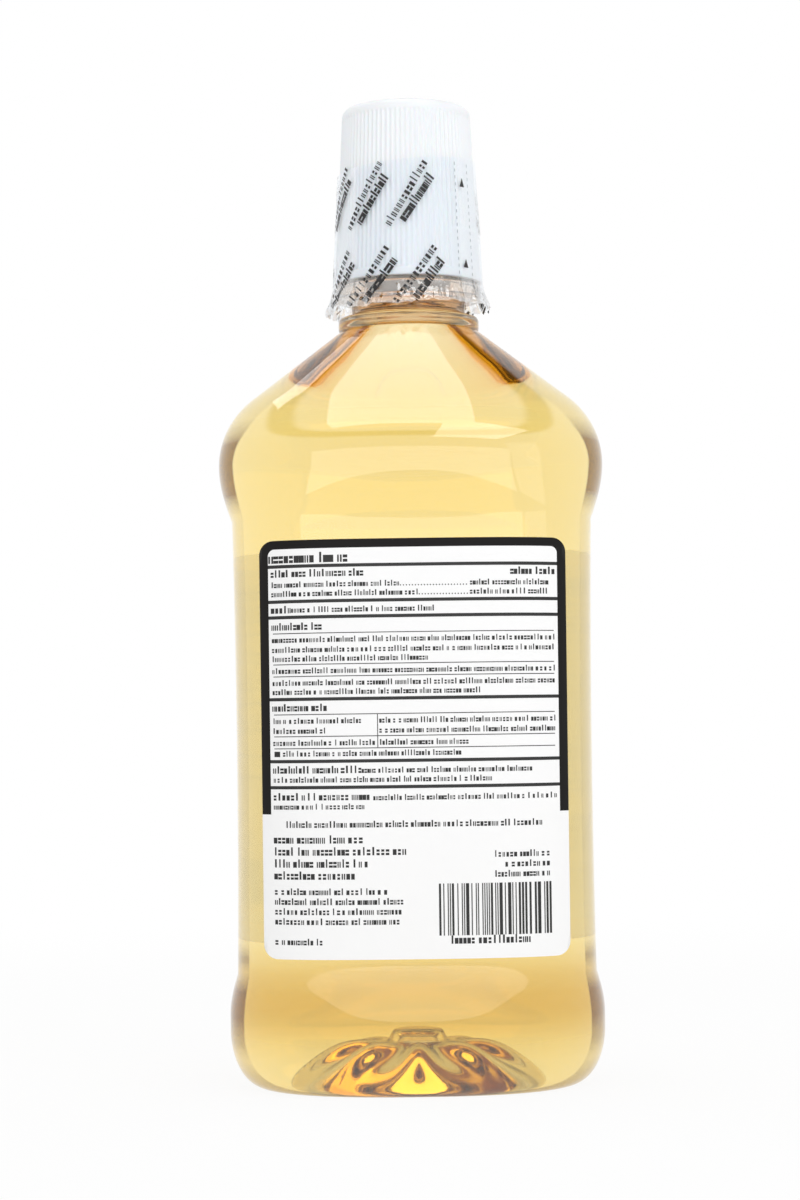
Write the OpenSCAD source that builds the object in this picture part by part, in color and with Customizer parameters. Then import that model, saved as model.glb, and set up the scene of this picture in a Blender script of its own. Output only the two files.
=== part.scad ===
// Mouthwash bottle with a fluted squeeze-and-turn dosing cap, a clear neck band and two labels.
// The origin is the middle of the standing ring on the floor, +Z is up, and the back label faces -Y.

/* [Bottle body] */
// Widest width, across the bulge under the shoulder
bottle_w = 96.6; // [90:0.2:104]
// Greatest depth, front to back, across the same bulge
bottle_d = 78; // [74:0.2:84]
// How far the bulge above the base lies back from the upper one, at each side
base_back = 1.1; // [0:0.1:2.5]
// How far the label panel lies back from the upper bulge, at each side
panel_back_w = 3.3; // [2.8:0.1:5]
// How far the label panel lies back from the upper bulge, at the front and the back
panel_back_d = 2.5; // [2:0.1:4]
// How far each side of the panel draws in halfway up
panel_waist = 0.5; // [0.1:0.1:1]
// How square the panel is in plan, where 2 is an ellipse
panel_square = 3.2; // [2.6:0.05:3.4]
// How square the bulges are in plan
bulge_square = 2.5; // [2.2:0.02:2.6]
// Height of the lower end of the panel
panel_low = 28.5; // [26:0.5:32]
// Height of the upper end of the panel
panel_high = 141; // [136:0.5:146]
// Height of the soft step from the panel out to the base bulge
low_step = 11; // [8:0.5:14]
// Height of the soft step from the panel out to the shoulder bulge
high_step = 14.3; // [10:0.1:18]
// Thickness of the blown wall
wall_t = 0.5; // [0.4:0.05:0.9]

/* [Base] */
// How far the standing ring lies back from the bulge above the base, at each side
ring_back = 8.2; // [6.5:0.1:10]
// Breadth of the flat standing ring
ring_b = 3; // [2:0.25:4]
// Height of the rounded heel
heel_h = 14; // [11:0.5:17]
// Height of the push-up over the floor
push_h = 11; // [8:0.5:13]
// Diameter of the boss in the middle of the push-up
boss_d = 15; // [11:0.5:18]
// Height of the boss over the push-up
boss_h = 3; // [2:0.25:4]
// Number of petals pressed into the push-up round the boss
petal_n = 8; // [4:4:8]
// Height of a petal over the hollow beside it
petal_h = 1.8; // [0.8:0.1:2.4]

/* [Shoulder and neck] */
// Radius of the round between the bulge and the sloping shoulder, at each side
shoulder_r_w = 21; // [16:0.5:24]
// Radius of the same round at the front and the back
shoulder_r_d = 12; // [9:0.5:18]
// Height of the lower face of the neck bead
bead_z = 189.2; // [186:0.2:193]
// Diameter of the neck bead
bead_d = 35.2; // [33.6:0.2:36.4]
// Height of the neck bead
bead_h = 3.4; // [2.6:0.2:4.4]
// Diameter of the neck between the bead and the collar
waist_d = 28.6; // [27:0.2:31]
// Height of the neck between the bead and the collar
waist_h = 4.4; // [3:0.2:6]
// Diameter of the collar below the cap
collar_d = 36.6; // [35:0.2:37]
// Thickness of the collar
collar_h = 3.4; // [2.4:0.2:4.4]
// Height of the threaded finish over the collar
finish_h = 18.6; // [17:0.2:22]
// Diameter of the finish at the root of its thread
finish_d = 25.2; // [24.6:0.1:25.6]
// Bore of the neck
bore_d = 21.8; // [20:0.1:22.6]
// Height that the bore takes to flare into the shoulder
flare_h = 7; // [5:0.5:9]

/* [Thread] */
// Rise of the thread in one turn
thread_pitch = 4.23; // [4.1:0.01:4.6]
// Turns of thread on the neck
neck_turns = 1.25; // [0.75:0.05:1.35]
// Turns of thread in the cap
cap_turns = 1.25; // [0.75:0.05:1.35]
// Height of a thread ridge over its root
thread_depth = 1.15; // [0.9:0.05:1.2]
// Width of a thread ridge at its root
thread_root = 2.5; // [2:0.1:2.6]
// Width of a thread ridge at its crest
thread_crest = 1.4; // [1:0.1:1.6]
// Distance from the lip down to the end of the ridge's middle line
thread_drop = 3.3; // [3:0.1:4]

/* [Cap] */
// Height of the cap
cap_h = 44.3; // [40:0.1:48]
// Diameter of the cap at its lower rim
cap_low_d = 36.6; // [36.4:0.1:37.6]
// Diameter of the cap where its top edge begins to round
cap_top_d = 32.4; // [32:0.1:33]
// Radius of the cap's top edge
cap_edge_r = 2.2; // [1.5:0.1:3]
// Thickness of the cap's outer wall
skirt_t = 1.15; // [1:0.05:1.3]
// Thickness of the cap's top
top_t = 1.3; // [1:0.1:2]
// Thickness of the dosing cup's wall
cup_t = 1.1; // [0.9:0.05:1.15]
// Inner diameter of the dosing cup over the seal
cup_d = 25.6; // [25:0.1:25.8]
// Height of the plain rim below the flutes
rim_h = 2; // [1.5:0.1:3]
// Number of flutes round the cap
flute_n = 84; // [60:2:96]
// Depth of a flute
flute_t = 0.35; // [0.2:0.05:0.45]
// Width of a smooth squeeze pad
pad_w = 17; // [13:0.5:19]
// Height of the top of a squeeze pad over the cap's lower rim
pad_h = 12.6; // [10:0.2:16]
// Turn of the squeeze pads from +X, towards +Y
pad_turn = -27; // [-40:1:-15]

/* [Child-resistant lugs] */
// Height of a lug on the neck over the collar
lug_h = 5; // [4:0.2:5.2]
// Diameter over the two lugs on the neck
lug_d = 31.2; // [30:0.1:31.6]
// Width of a lug
lug_w = 4; // [3:0.2:5]
// Distance from the collar up to the cup's threaded wall
cup_lift = 6; // [5.8:0.1:6.6]

/* [Seal ring] */
// Thickness of the seal ring
seal_t = 1.4; // [1:0.1:1.6]
// Height of the bead in the cap that holds the seal ring
seal_bead_h = 0.6; // [0.4:0.1:0.8]

/* [Neck band] */
// Thickness of the clear film
film_t = 0.2; // [0.15:0.05:0.3]
// Height of the band's lower edge
hem_z = 193.4; // [193:0.2:195]
// Diameter inside the flared lower edge
hem_d = 40.4; // [39.4:0.2:42]
// Height at which the film starts to flare
flare_z = 198.6; // [197.6:0.2:199]
// Height of the band's top edge, on the axis
band_top_z = 230; // [224:0.5:236]
// Tilt of the top edge, up towards +X
band_tilt = 5; // [0:0.5:8]
// Width of the tear strip between its perforations
strip_w = 4.6; // [3:0.2:6]
// Turn of the tear strip from +X, towards +Y
strip_turn = -40; // [-50:1:-30]

/* [Labels] */
// Width of a label, seen square on
label_w = 74.4; // [66:0.2:76]
// Height of a label
label_h = 101.2; // [94:0.2:104]
// Height of a label's lower edge
label_z = 33.8; // [32.8:0.2:36]
// Radius of a label's corners
label_r = 3.4; // [2:0.2:6]
// Thickness of a label
label_t = 0.12; // [0.1:0.01:0.2]

/* [Fits] */
// Gap between the cap's rim and the collar
rim_gap = 0.8; // [0.6:0.1:1.2]
// Gap between a thread's crest and the root it faces
crest_gap = 0.4; // [0.35:0.05:0.45]
// Gap over and under the seal ring
seal_gap = 0.1; // [0.08:0.01:0.14]
// Gap round the seal ring in the cap
seal_side_gap = 0.25; // [0.2:0.05:0.3]
// Gap between the lugs on the neck and those in the cap
lug_gap = 0.3; // [0.25:0.05:0.5]
// Gap between the film and the cap or the collar
film_gap = 0.35; // [0.3:0.05:0.5]
// Width of the cut that the perforations leave beside the tear strip
cut_w = 0.15; // [0.12:0.01:0.2]
// Gap between the liquid and the wall
liquid_gap = 0.15; // [0.12:0.01:0.25]
// Distance from the collar's lower face up to the liquid's level
level_up = 1; // [0:0.2:3]

/* [Hidden] */
$fn = 72;
// Depth by which a piece of a solid runs into the next, so that they join
sink = 0.6;
// Side of a block that cuts away all of one side
big = 300;
// Sides of the body in plan, and its steps over the heel, a soft step and the shoulder
plan_sides = 48;
heel_steps = 5;
soft_steps = 4;
shoulder_steps = 12;
// Steps in the round of the cap's top edge
edge_steps = 6;
// Steps in one turn of thread, and those over which its ends taper
turn_steps = 36;
taper_steps = 3;
// Where the petals lie between the boss and the standing ring, as shares of that way
petal_places = [0.2, 0.45, 0.7];
// Share of the boss that is flat on top, and the radius of the first level inside it
boss_flat = 0.6;
middle_r = 0.8;
// How far the bead stands out over the top of the shoulder
bead_step = 0.2;
// One flute's profile: shares of its pitch round the cap, and of its depth
flute_profile = [[0.1, 0], [0.5, 0], [0.7, 1], [0.9, 1]];
// Radius of a squeeze pad's upper corners
pad_corner = 3;
// Turn from the line between the pads to a lug, one way on the neck and the other in the cap
lug_step = 14;

half_w = bottle_w / 2;
half_d = bottle_d / 2;
depth_share = bottle_d / bottle_w;
panel_half = half_w - panel_back_w;
panel_deep = half_d - panel_back_d;
base_half = half_w - base_back;
ring_half = base_half - ring_back;
ring_in = ring_half - ring_b;
boss_r = boss_d / 2;
shoulder_z = panel_high + high_step;
base_z = panel_low - low_step;
panel_mid = (panel_low + panel_high) / 2;
bead_half = bead_d / 2;
neck_half = bead_half - bead_step;
waist_z = bead_z + bead_h;
collar_z = waist_z + waist_h;
collar_top = collar_z + collar_h;
lip_z = collar_top + finish_h;
bore_r = bore_d / 2;
finish_r = finish_d / 2;
level_z = collar_z + level_up;

cap_z = collar_top + rim_gap;
cap_top = cap_z + cap_h;
edge_z = cap_top - cap_edge_r;
flute_z = cap_z + rim_h;
cap_low_r = cap_low_d / 2;
cap_top_r = cap_top_d / 2;
cap_slope = (cap_low_r - cap_top_r) / (edge_z - cap_z);
thread_wall_r = finish_r + thread_depth + crest_gap;
cup_r = cup_d / 2;
cup_low = collar_top + cup_lift;
seal_z = lip_z + seal_gap;
land_z = seal_z + seal_t + seal_gap;
ceiling_z = cap_top - top_t;
seal_out_r = thread_wall_r - seal_side_gap;
lug_turn = pad_turn + 90;
// How far the smooth pads and top, and the rim, stand proud of the flutes
pad_proud = 0.15;
rim_proud = 0.25;

// Radius of the cap's outer wall at a height
function cap_r(z) = cap_low_r - (z - cap_z) * cap_slope;
// A soft step from 0 to 1, quick at first
function soft(share) = sin(90 * share);
function between(from, to, share) = from + (to - from) * share;

// Slope of the shoulder from the vertical, for a bulge that reaches so far from the axis
function shoulder_lean(reach, round_r) =
    let (across = reach - round_r - neck_half, up = bead_z - shoulder_z)
    atan2(across, up) + asin(round_r / norm([across, up]));
// Reach of the shoulder at a height: a round that turns into a straight slope
function shoulder_reach(z, reach, round_r, inset) =
    let (lean = shoulder_lean(reach, round_r), r = round_r - inset, up = z - shoulder_z)
    up < r * sin(lean)
        ? reach - round_r + sqrt(r * r - up * up)
        : reach - round_r + r * cos(lean) - (up - r * sin(lean)) * tan(lean);

// The body's levels, from the middle of the push-up out to the heel and up to the neck.
// Each is its half-width, half-depth, height, squareness and the height of its petals
function under_levels(inset) = concat(
    [[middle_r, middle_r, push_h + boss_h + inset, 2, 0],
     [boss_r * boss_flat, boss_r * boss_flat, push_h + boss_h + inset, 2, 0],
     [boss_r, boss_r, push_h + inset, 2, 0]],
    [for (s = petal_places)
        [between(boss_r, ring_in, s), between(boss_r, ring_in * depth_share, s),
         push_h * cos(90 * s) + inset, 2, petal_h * (1 - s)]],
    [[ring_in, ring_in * depth_share, inset, 2, 0]]);
function heel_levels(inset) =
    [for (i = [0:heel_steps]) let (t = 90 * i / heel_steps,
        a = between(ring_half, base_half, sin(t)))
        [a - inset, a * depth_share - inset, heel_h + (inset - heel_h) * cos(t), bulge_square, 0]];
function side_levels(inset) = concat(
    [for (i = [0:soft_steps]) let (s = soft(1 - i / soft_steps))
        [between(panel_half, base_half, s) - inset,
         between(panel_deep, base_half * depth_share, s) - inset,
         base_z + low_step * i / soft_steps, between(panel_square, bulge_square, s), 0]],
    [panel_level(panel_mid, inset)],
    [for (i = [0:soft_steps]) let (s = soft(i / soft_steps))
        [between(panel_half, half_w, s) - inset, between(panel_deep, half_d, s) - inset,
         panel_high + high_step * i / soft_steps, between(panel_square, bulge_square, s), 0]]);
function shoulder_levels(inset) =
    [for (i = [1:shoulder_steps])
        let (s = i / shoulder_steps, z = between(shoulder_z, bead_z - inset, s))
        [shoulder_reach(z, half_w, shoulder_r_w, inset), shoulder_reach(z, half_d, shoulder_r_d, inset),
         z, between(bulge_square, 2, s), 0]];
// A level of the label panel, whose sides draw in halfway up
function panel_level(z, inset) =
    [panel_half - inset - (z == panel_mid ? panel_waist : 0), panel_deep - inset, z, panel_square, 0];

// Points of one level: a squarish oval, with its petals
function level_points(level) =
    [for (i = [0:plan_sides - 1]) let (t = 360 * i / plan_sides, c = cos(t), s = sin(t))
        [level[0] * sign(c) * pow(abs(c), 2 / level[3]), level[1] * sign(s) * pow(abs(s), 2 / level[3]),
         level[2] + level[4] * cos(petal_n * t)]];
// Triangles over a stack of rings of the same number of points, with both ends closed
function stack_faces(rings, sides) = concat(
    [for (k = [0:rings - 2]) for (i = [0:sides - 1]) let (j = (i + 1) % sides)
        [k * sides + i, (k + 1) * sides + j, k * sides + j]],
    [for (k = [0:rings - 2]) for (i = [0:sides - 1]) let (j = (i + 1) % sides)
        [k * sides + i, (k + 1) * sides + i, (k + 1) * sides + j]],
    [[for (i = [0:sides - 1]) i]],
    [[for (i = [sides - 1:-1:0]) (rings - 1) * sides + i]]);

// A closed form through a list of levels
module stack(levels) {
    polyhedron([for (level = levels) each level_points(level)], stack_faces(len(levels), plan_sides));
}

// The body from the base to the neck, drawn in from its outer face
module body_form(inset) {
    top = inset == 0 ? [[neck_half, neck_half, bead_z + sink, 2, 0]] : [];
    stack(concat(under_levels(inset), heel_levels(inset), side_levels(inset),
                 shoulder_levels(inset), top));
}

// What the bottle encloses, drawn in from its outer face
module inside(inset) {
    body_form(inset);
    translate([0, 0, bead_z - inset - sink])
        cylinder(h = flare_h, r1 = neck_half - 2 * inset, r2 = bore_r + wall_t - inset);
    translate([0, 0, bead_z])
        cylinder(h = lip_z - bead_z + 1, r = bore_r + wall_t - inset);
}

// A thread ridge, swept up a right-hand helix and tapered out at both ends.
// out is 1 for a ridge that stands outwards from its root, and -1 for one that stands inwards
module thread(root_r, low_z, turns, out) {
    steps = ceil(turns * turn_steps);
    buried = 0.3;
    function rise(k) = min(1, min(k, steps - k) / taper_steps);
    points = [for (k = [0:steps])
        let (turn = 360 * turns * k / steps, z = low_z + thread_pitch * turns * k / steps,
             r0 = root_r - out * buried, r1 = root_r + out * between(-buried / 2, thread_depth, rise(k)),
             w = thread_root / 2, c = thread_crest / 2)
        each [for (p = [[r0, -w], [r1, -c], [r1, c], [r0, w]])
            [p[0] * cos(turn), p[0] * sin(turn), z + p[1]]]];
    faces = stack_faces(steps + 1, 4);
    polyhedron(points, out > 0 ? [for (f = faces) [for (i = [len(f) - 1:-1:0]) f[i]]] : faces);
}

// A lug that stands out along +X between two radii
module lug(r_in, r_out, low, high) {
    translate([0, 0, low])
        linear_extrude(high - low)
            intersection() {
                difference() {
                    circle(r_out);
                    circle(r_in);
                }
                translate([0, -lug_w / 2])
                    square([big, lug_w]);
            }
}

module neck_outside() {
    translate([0, 0, bead_z])
        cylinder(h = bead_h, r = bead_half);
    translate([0, 0, bead_z])
        cylinder(h = collar_top - bead_z, d = waist_d);
    translate([0, 0, collar_z])
        cylinder(h = collar_h, d = collar_d);
    translate([0, 0, collar_z])
        cylinder(h = lip_z - collar_z, r = finish_r);
    thread(finish_r, lip_z - thread_drop - thread_pitch * neck_turns, neck_turns, 1);
    for (side = [0, 180])
        rotate(lug_turn - lug_step + side)
            lug(finish_r - sink, lug_d / 2, collar_top - sink, collar_top + lug_h);
}

module bottle() {
    color([0.93, 0.95, 0.94, 0.4])
        difference() {
            union() {
                body_form(0);
                neck_outside();
            }
            inside(wall_t);
        }
}

module mouthwash() {
    color([0.95, 0.82, 0.45])
        difference() {
            inside(wall_t + liquid_gap);
            translate([-big / 2, -big / 2, level_z])
                cube(big);
        }
}

// Outer form of the cap: rim, fluted wall, smooth pads and rounded top
module cap_outside() {
    translate([0, 0, cap_z])
        cylinder(h = rim_h, r1 = cap_low_r + rim_proud, r2 = cap_r(flute_z) + rim_proud);
    low = flute_z - sink;
    translate([0, 0, low])
        linear_extrude(edge_z - low, scale = cap_top_r / cap_r(low))
            polygon([for (i = [0:flute_n - 1]) for (p = flute_profile)
                let (r = cap_r(low) - flute_t * p[1], t = 360 * (i + p[0]) / flute_n)
                [r * cos(t), r * sin(t)]]);
    round_in = cap_top_r + pad_proud - cap_edge_r;
    translate([0, 0, edge_z])
        rotate_extrude()
            polygon(concat(
                [[0, -sink], [cap_top_r + pad_proud, -sink]],
                [for (i = [0:edge_steps]) let (t = 90 * i / edge_steps)
                    [round_in + cap_edge_r * cos(t), cap_edge_r * sin(t)]],
                [[0, cap_edge_r]]));
    for (side = [0, 180])
        rotate(pad_turn + side)
            intersection() {
                translate([0, 0, cap_z])
                    cylinder(h = pad_h, r1 = cap_low_r + pad_proud, r2 = cap_r(cap_z + pad_h) + pad_proud);
                pad_block();
            }
}

// A block with rounded upper corners, which marks out one squeeze pad
module pad_block() {
    rotate([90, 0, 90])
        translate([0, cap_z, cup_r])
            linear_extrude(big) {
                translate([-pad_w / 2, 0])
                    square([pad_w, pad_h - pad_corner]);
                translate([-pad_w / 2 + pad_corner, 0])
                    square([pad_w - 2 * pad_corner, pad_h]);
                for (side = [-1, 1])
                    translate([side * (pad_w / 2 - pad_corner), pad_h - pad_corner])
                        circle(pad_corner);
            }
}

module dosing_cap() {
    color("white") {
        difference() {
            cap_outside();
            translate([0, 0, cap_z - 1])
                cylinder(h = ceiling_z - cap_z + 1,
                         r1 = cap_r(cap_z - 1) - skirt_t - flute_t / 2,
                         r2 = cap_r(ceiling_z) - skirt_t - flute_t / 2);
        }
        difference() {
            union() {
                translate([0, 0, cup_low])
                    cylinder(h = land_z + cup_t - cup_low, r = thread_wall_r + cup_t);
                translate([0, 0, land_z])
                    cylinder(h = ceiling_z - land_z + sink, r = cup_r + cup_t);
            }
            translate([0, 0, cup_low - 1])
                cylinder(h = land_z - cup_low + 1, r = thread_wall_r);
            translate([0, 0, land_z - 1])
                cylinder(h = ceiling_z - land_z + 1, r = cup_r);
        }
        // The cap's ridge runs half a pitch below the neck's
        thread(thread_wall_r, lip_z - thread_drop - thread_pitch * (neck_turns + 0.5), cap_turns, -1);
        seal_bead();
        for (side = [0, 180])
            rotate(lug_turn + lug_step + side)
                lug(lug_d / 2 + lug_gap, cap_low_r - skirt_t, cap_z + sink, cap_z + lug_h - rim_gap);
    }
}

// A small round bead in the cap that keeps the seal ring from dropping out
module seal_bead() {
    translate([0, 0, seal_z - seal_gap - seal_bead_h])
        difference() {
            cylinder(h = seal_bead_h, r = thread_wall_r + cup_t / 2);
            translate([0, 0, -1])
                cylinder(h = seal_bead_h + 2, r = thread_wall_r - 2 * seal_side_gap);
        }
}

module seal_ring() {
    color([0.9, 0.92, 0.95])
        translate([0, 0, seal_z])
            difference() {
                cylinder(h = seal_t, r = seal_out_r);
                translate([0, 0, -1])
                    cylinder(h = seal_t + 2, r = bore_r);
            }
}

// The whole sleeve of film, tapered like the cap and flared over the neck
module sleeve() {
    rim_r = cap_low_r + rim_proud + film_gap;
    high_z = band_top_z + cap_low_r;
    high_r = cap_r(high_z) + rim_proud + film_gap;
    hem_r = hem_d / 2;
    intersection() {
        rotate_extrude()
            polygon([
                [hem_r, hem_z], [rim_r, flare_z], [rim_r, cap_z], [high_r, high_z],
                [high_r + film_t, high_z], [rim_r + film_t, cap_z], [rim_r + film_t, flare_z],
                [hem_r + film_t, hem_z]]);
        translate([0, 0, band_top_z])
            rotate([0, -band_tilt, 0])
                translate([-big / 2, -big / 2, -big])
                    cube(big);
    }
}

// A slab that reaches out from the axis through the tear strip
module strip_slab(width) {
    rotate(strip_turn)
        translate([0, -width / 2, hem_z - 1])
            cube([big, width, band_top_z]);
}

module neck_band() {
    color([0.85, 0.88, 0.9, 0.4])
        difference() {
            sleeve();
            strip_slab(strip_w + 2 * cut_w);
        }
}

module tear_strip() {
    color([0.8, 0.84, 0.88, 0.4])
        intersection() {
            sleeve();
            strip_slab(strip_w);
        }
}

// A label wrapped on the panel, on the side that side names: -1 towards -Y and 1 towards +Y
module label(side) {
    intersection() {
        difference() {
            panel_skin(-label_t);
            panel_skin(0);
        }
        translate([0, side * big / 2, label_z])
            rotate([90, 0, 0])
                linear_extrude(big, center = true)
                    label_outline();
    }
}

// The panel's own stretch of the body
module panel_skin(inset) {
    stack([for (z = [panel_low, panel_mid, panel_high]) panel_level(z, inset)]);
}

module label_outline() {
    translate([-label_w / 2 + label_r, 0])
        square([label_w - 2 * label_r, label_h]);
    translate([-label_w / 2, label_r])
        square([label_w, label_h - 2 * label_r]);
    for (x = [-1, 1], z = [label_r, label_h - label_r])
        translate([x * (label_w / 2 - label_r), z])
            circle(label_r);
}

module back_label() {
    color("whitesmoke")
        label(-1);
}

module front_label() {
    color("whitesmoke")
        label(1);
}

bottle();
mouthwash();
dosing_cap();
seal_ring();
neck_band();
tear_strip();
back_label();
front_label();
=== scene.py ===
"""A one-litre bottle of amber mouthwash, its back label to the front, on a white sweep."""
import math
import random

import bmesh
import bpy
import numpy as np
from mathutils import Matrix, Vector, noise


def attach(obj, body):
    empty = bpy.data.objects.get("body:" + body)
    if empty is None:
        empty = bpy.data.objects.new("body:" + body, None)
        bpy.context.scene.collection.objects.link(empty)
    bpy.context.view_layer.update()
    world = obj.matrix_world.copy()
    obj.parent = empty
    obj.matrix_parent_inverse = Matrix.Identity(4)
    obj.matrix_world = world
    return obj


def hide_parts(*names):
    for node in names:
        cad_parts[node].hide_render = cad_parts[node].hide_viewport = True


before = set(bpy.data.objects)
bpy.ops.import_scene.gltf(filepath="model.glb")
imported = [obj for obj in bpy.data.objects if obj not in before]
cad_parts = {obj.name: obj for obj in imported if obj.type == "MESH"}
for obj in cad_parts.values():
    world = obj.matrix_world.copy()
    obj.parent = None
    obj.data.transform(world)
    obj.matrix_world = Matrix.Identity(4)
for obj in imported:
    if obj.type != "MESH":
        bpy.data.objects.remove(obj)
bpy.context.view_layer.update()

# Studio ---------------------------------------------------------------------------------------
# A white sweep in a room with a dim ceiling, five soft boxes round it, and the camera 72 cm from
# the bottle, level with the lower half of the label. Sizes in this file are millimetres.

MM = 0.001                          # metres
PHOTO_HIGH = 1200                   # pixels
FOCAL = 2844                        # pixels
HORIZON = 720                       # pixel row
CAMERA_AT = (-3.5, -719.5, 91.3)
CAMERA_ROLL = -0.76                 # degrees, so that the bottle leans to the left
MOST_BOUNCES, GLOSSY_BOUNCES = 28, 10  # light crosses the wall and the liquid many times
WHITE, PAPER = "FFFFFF", "FAFAFA"
FLOOR_SIDE = 2400
WHITE_SHARE = 0.91                  # of the floor's look that is plain white, without shade
SHADE_FROM, SHADE_TO = 200, 600     # from the bottle, where that share grows to the whole
# Light of the room on matt surfaces: from its walls, and from above where Z passes two limits
ROOM, ROOM_TOP = "E8E8E8", "B4B4B4"
TOP_FROM, TOP_FULL = 0.5, 0.9
SWEEP_FROM, SWEEP_FULL = 0.1, 0.6   # Y of a direction, where the walls give way to the sweep
# What reflections and the liquid show overhead, in degrees over the horizon: where the ceiling
# sets in, and where it gives way to a white panel
CEILING = "80602C"
CEILING_FROM, CEILING_FULL = 45, 51
PANEL_FROM, PANEL_FULL = 58, 63


def metres(point):
    return Vector(point) * MM


def linear(code):
    """The linear colour of an sRGB hex code."""
    parts = [int(code[i:i + 2], 16) / 255 for i in (0, 2, 4)]
    return (*[c / 12.92 if c <= 0.04045 else ((c + 0.055) / 1.055) ** 2.4 for c in parts], 1.0)


def placed(name, data):
    """A new object of this data, in the scene."""
    made = bpy.data.objects.new(name, data)
    bpy.context.scene.collection.objects.link(made)
    return made


def add(tree, kind, feeds=(), **settings):
    """Adds a node. Feeds maps an input's name or number to a value or an output."""
    node = tree.nodes.new(kind)
    for name, value in settings.items():
        setattr(node, name, value)
    for key, value in dict(feeds).items():
        if isinstance(value, bpy.types.NodeSocket):
            tree.links.new(value, node.inputs[key])
        else:
            node.inputs[key].default_value = value
    return node


def maths(tree, operation, first, second):
    return add(tree, "ShaderNodeMath", {0: first, 1: second}, operation=operation).outputs[0]


def ramp(tree, value, low=0.0, high=1.0, to=(0.0, 1.0), kind="LINEAR"):
    """The value's place between low and high, as a number from to[0] to to[1]."""
    return add(tree, "ShaderNodeMapRange", {
        "Value": value, "From Min": low, "From Max": high, "To Min": to[0], "To Max": to[1]},
        interpolation_type=kind).outputs[0]


def mixed(tree, share, first, second):
    """Two colours, with this share of the second."""
    return add(tree, "ShaderNodeMix", {0: share, 6: first, 7: second}, data_type="RGBA").outputs[2]


def blended(tree, share, first, second):
    """Two shaders, with this share of the second."""
    return add(tree, "ShaderNodeMixShader", {0: share, 1: first, 2: second}).outputs[0]


def seen(tree):
    """1 for what is seen straight, reflected or refracted, and 0 for light on a matt surface."""
    path = add(tree, "ShaderNodeLightPath").outputs
    straight = maths(tree, "MAXIMUM", path["Is Camera Ray"], path["Is Glossy Ray"])
    return maths(tree, "MAXIMUM", straight, path["Is Transmission Ray"])


def new_material(name):
    """A new material with an empty tree."""
    made = bpy.data.materials.new(name)
    made.use_nodes = True
    made.node_tree.nodes.clear()
    return made, made.node_tree


scene = bpy.context.scene
camera_data = bpy.data.cameras.new("camera")
camera_data.lens = FOCAL * camera_data.sensor_width / PHOTO_HIGH
camera_data.shift_y = (HORIZON - PHOTO_HIGH / 2) / PHOTO_HIGH
scene.camera = placed("camera", camera_data)
scene.camera.matrix_world = (
    Matrix.Translation(metres(CAMERA_AT)) @ Matrix.Rotation(math.pi / 2, 4, "X")
    @ Matrix.Rotation(math.radians(CAMERA_ROLL), 4, "Z"))
scene.view_settings.view_transform = "Standard"
scene.cycles.max_bounces = scene.cycles.transmission_bounces = MOST_BOUNCES
scene.cycles.glossy_bounces = GLOSSY_BOUNCES


def heights(*degrees):
    """The Z of directions so many degrees over the horizon."""
    return [math.sin(math.radians(angle)) for angle in degrees]


world = bpy.data.worlds.new("white studio")
world.use_nodes = True
scene.world = world
tree = world.node_tree
tree.nodes.clear()
way = add(tree, "ShaderNodeTexCoord")
rise = add(tree, "ShaderNodeSeparateXYZ", {0: way.outputs["Generated"]}).outputs
# The camera, reflections and refractions see white paper with a ring of dim ceiling over it
dims = ramp(tree, rise["Z"], *heights(CEILING_FROM, CEILING_FULL), kind="SMOOTHSTEP")
clears = ramp(tree, rise["Z"], *heights(PANEL_FROM, PANEL_FULL), (1, 0), "SMOOTHSTEP")
room = mixed(tree, maths(tree, "MULTIPLY", dims, clears), linear(WHITE), linear(CEILING))
# The sweep that rises behind the bottle is the brightest wall of the room
behind = ramp(tree, rise["Y"], SWEEP_FROM, SWEEP_FULL, kind="SMOOTHSTEP")
walls = mixed(tree, behind, linear(ROOM), linear(WHITE))
above = ramp(tree, rise["Z"], TOP_FROM, TOP_FULL, kind="SMOOTHSTEP")
soft = mixed(tree, above, walls, linear(ROOM_TOP))
level = mixed(tree, seen(tree), soft, room)
sky = add(tree, "ShaderNodeBackground", {"Color": level, "Strength": 1.0})
add(tree, "ShaderNodeOutputWorld", {"Surface": sky.outputs[0]})


def soft_box(name, at, width, length, glow, facing=(0, 0, -1)):
    """An area lamp of an even glow."""
    data = bpy.data.lights.new(name, "AREA")
    data.shape = "RECTANGLE"
    data.size, data.size_y = width * MM, length * MM
    data.energy = glow * math.pi * data.size * data.size_y
    lamp = placed(name, data)
    lamp.location = metres(at)
    lamp.rotation_euler = Vector(facing).to_track_quat("-Z", "Y").to_euler()


# The first three show as the pale sheets on the shoulder, and the fourth along the right side.
# The last fills in the shade on the cap and the label.
soft_box("overhead soft box", (-38, 10, 900), 455, 480, 1.3)
soft_box("front soft box", (330, -500, 900), 500, 640, 1.6)
soft_box("rear soft box", (-400, 400, 900), 230, 260, 2.0)
soft_box("side soft box", (640, -560, 330), 330, 560, 0.4, (-0.72, 0.66, -0.2))
soft_box("front fill", (0, -1000, 260), 1500, 520, 0.7, (0, 1, -0.1))

floor_mesh = bpy.data.meshes.new("floor")
half = FLOOR_SIDE / 2 * MM
floor_mesh.from_pydata([(-half, -half, 0), (half, -half, 0), (half, half, 0), (-half, half, 0)],
                       [], [(0, 1, 2, 3)])
floor = placed("floor", floor_mesh)

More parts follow.
